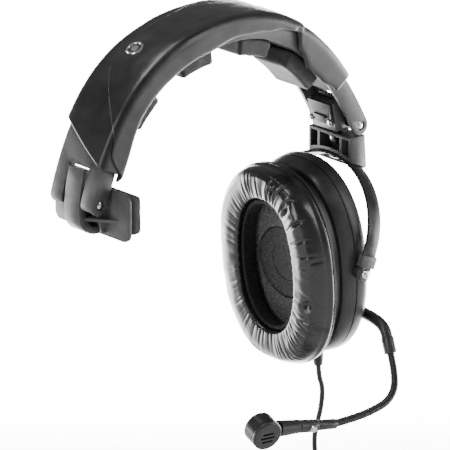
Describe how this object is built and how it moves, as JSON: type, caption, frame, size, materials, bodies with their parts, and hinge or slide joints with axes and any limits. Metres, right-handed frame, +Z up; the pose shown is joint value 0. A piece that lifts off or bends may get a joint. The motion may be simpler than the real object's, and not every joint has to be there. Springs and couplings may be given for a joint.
{
  "type": "headset microphone",
  "caption": "Single-sided intercom headset: padded headband with a temple pad, a yoke-hung oval ear cup, a gooseneck boom microphone and a cord with a round line plug.",
  "frame": {"origin": "underside of the headband's crown, where it rests on top of the head", "axes": "+X to the ear cup, -X to the temple pad, -Y the wearer's front where the microphone reaches, +Z up"},
  "size_m": [0.2017, 0.1111, 0.2889],
  "materials": {
    "band_shell": "fine matt grain, black",
    "headband_cover": "smooth black leatherette with a soft sheen",
    "channel_liner": "matt black",
    "fork": "fine matt grain, black",
    "head_pad": "skinned black foam, matt",
    "ear_cushion": "shiny black leatherette, gathered in fine creases",
    "ear_foam_liner": "black foam, dull",
    "speaker_grille": "dark grey woven cloth",
    "cup_shell": "fine matt grain, black",
    "inner_plastic": "matt black",
    "black_steel": "black finish, semi-gloss",
    "nickel": "polished nickel",
    "magnet_steel": "zinc plated",
    "gooseneck": "black, finely ringed",
    "cord_rubber": "matt black jacket",
    "boom_plastic": "satin black",
    "tie": "black hook-and-loop strap"
  },
  "bodies": {
    "headband": {"band_shell": "band_shell", "headband_cover": "headband_cover", "channel_liner": "channel_liner", "head_pad_left_outer": "head_pad", "head_pad_left_inner": "head_pad", "head_pad_right_inner": "head_pad", "head_pad_right_outer": "head_pad", "snap_left": "nickel", "snap_right": "nickel", "fork_pin_left": "nickel", "fork_pin_right": "nickel"},
    "temple": {"temple_arm": "fork", "temple_pad": "head_pad"},
    "guide": {"slider_guide": "fork", "retainer_plate": "black_steel", "guide_screw_front": "nickel", "guide_screw_rear": "nickel"},
    "slider": {"slide_strap": "black_steel", "strap_screw": "nickel", "yoke_block": "fork", "yoke_band": "black_steel", "yoke_rivet": "black_steel", "yoke_end_front": "fork", "yoke_end_rear": "fork", "pivot_screw_front": "nickel", "pivot_screw_rear": "nickel"},
    "earcup": {"ear_cushion": "ear_cushion", "cushion_flange": "cup_shell", "ear_foam_liner": "ear_foam_liner", "baffle": "inner_plastic", "speaker_grille": "speaker_grille", "speaker_driver": "inner_plastic", "speaker_magnet": "magnet_steel", "front_shell": "cup_shell", "rear_shell": "cup_shell", "shell_screw_upper": "nickel", "shell_screw_lower": "nickel", "boom_socket": "boom_plastic", "strain_relief": "cord_rubber", "cord_drop": "cord_rubber", "cord_coil": "cord_rubber", "cord_tail": "cord_rubber", "coil_tie": "tie", "plug_shell": "black_steel", "plug_boot": "cord_rubber", "plug_insert": "inner_plastic"},
    "boom": {"boom_hub": "boom_plastic", "hub_screw": "nickel", "boom_arm": "boom_plastic", "boom_sleeve": "boom_plastic", "gooseneck": "gooseneck"},
    "mic": {"neck_end_sleeve": "boom_plastic", "mic_collar": "boom_plastic", "collar_screw": "nickel", "mic_stem": "boom_plastic", "mic_housing": "boom_plastic", "mic_cover": "boom_plastic", "mic_element": "magnet_steel"},
    "latch": {"plug_latch": "nickel"}
  },
  "joints": [
    {"name": "temple_pad_pivot", "type": "hinge", "parent": "headband", "child": "temple", "pos_m": [-0.0888, 0, -0.0644], "axis": [0, 1, 0], "range_deg": [-4, 15]},
    {"name": "guide_pivot", "type": "hinge", "parent": "headband", "child": "guide", "pos_m": [0.0888, 0, -0.0644], "axis": [0, 1, 0], "range_deg": [-4, 2]},
    {"name": "yoke_height", "type": "slide", "parent": "guide", "child": "slider", "axis": [0.1822, 0, -0.9833], "range_m": [0, 0.012]},
    {"name": "cup_tilt", "type": "hinge", "parent": "slider", "child": "earcup", "pos_m": [0.0664, 0, -0.1323], "axis": [0, 1, 0], "range_deg": [-15, 8]},
    {"name": "boom_swing", "type": "hinge", "parent": "earcup", "child": "boom", "pos_m": [0.07988, -0.004, -0.16023], "axis": [0.9976, 0, 0.0698], "range_deg": [-55, 35]},
    {"name": "gooseneck_bend", "type": "hinge", "parent": "boom", "child": "mic", "pos_m": [0.065, -0.0598, -0.1964], "axis": [0, 0, 1], "range_deg": [-20, 20], "deforming": ["gooseneck"]},
    {"name": "latch_press", "type": "slide", "parent": "earcup", "child": "latch", "axis": [0, 0, -1], "range_m": [0, 0.001], "stiffness_N_per_m": 600}
  ]
}
